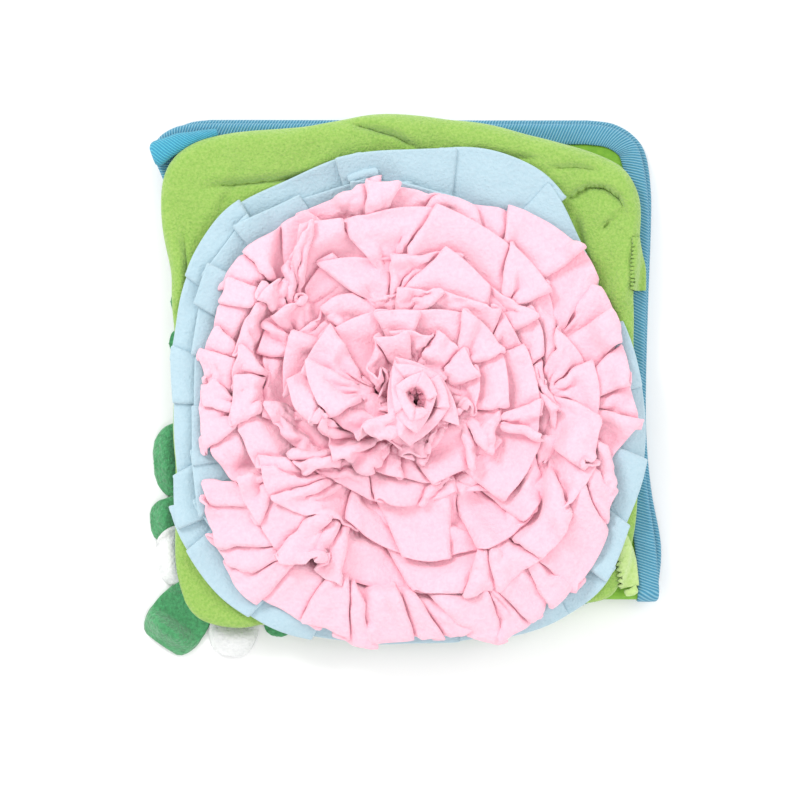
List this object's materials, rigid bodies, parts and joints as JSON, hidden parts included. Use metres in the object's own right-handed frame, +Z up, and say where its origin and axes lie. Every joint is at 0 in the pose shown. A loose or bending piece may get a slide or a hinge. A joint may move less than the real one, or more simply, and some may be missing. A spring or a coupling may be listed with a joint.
{
  "type": "snuffle mat",
  "caption": "Fleece snuffle mat folded once, with a pleated pink flower on sky-blue and lime ruffles, a bound felt base, and leaves and petals beneath.",
  "frame": {"origin": "centre of the folded mat's footprint, on the surface it lies on", "axes": "+Z up, square to the flower's face; +Y along the folded length, away from the fold; +X across the mat"},
  "size_m": [0.313, 0.3276, 0.0579],
  "materials": {
    "fleece_pink": "soft brushed fleece",
    "fleece_sky": "soft brushed fleece",
    "fleece_lime": "soft brushed fleece with a coarse pile",
    "felt_base": "felted fleece",
    "tape_blue": "ribbed woven tape",
    "fleece_green": "soft brushed fleece",
    "fleece_white": "soft brushed fleece"
  },
  "bodies": {
    "root": {"base_panel": "felt_base", "binding_tape": "tape_blue", "lime_ruffle": "fleece_lime", "sky_ruffle": "fleece_sky", "pink_ruffle": "fleece_pink", "leaf_left_a": "fleece_green", "leaf_left_b": "fleece_green", "leaf_left_c": "fleece_green", "leaf_side_a": "fleece_green", "leaf_side_b": "fleece_green", "leaf_corner": "fleece_green", "leaf_corner_b": "fleece_green", "leaf_bottom": "fleece_green", "leaf_right": "fleece_green", "petal_side": "fleece_white", "petal_corner": "fleece_white"}
  },
  "joints": []
}
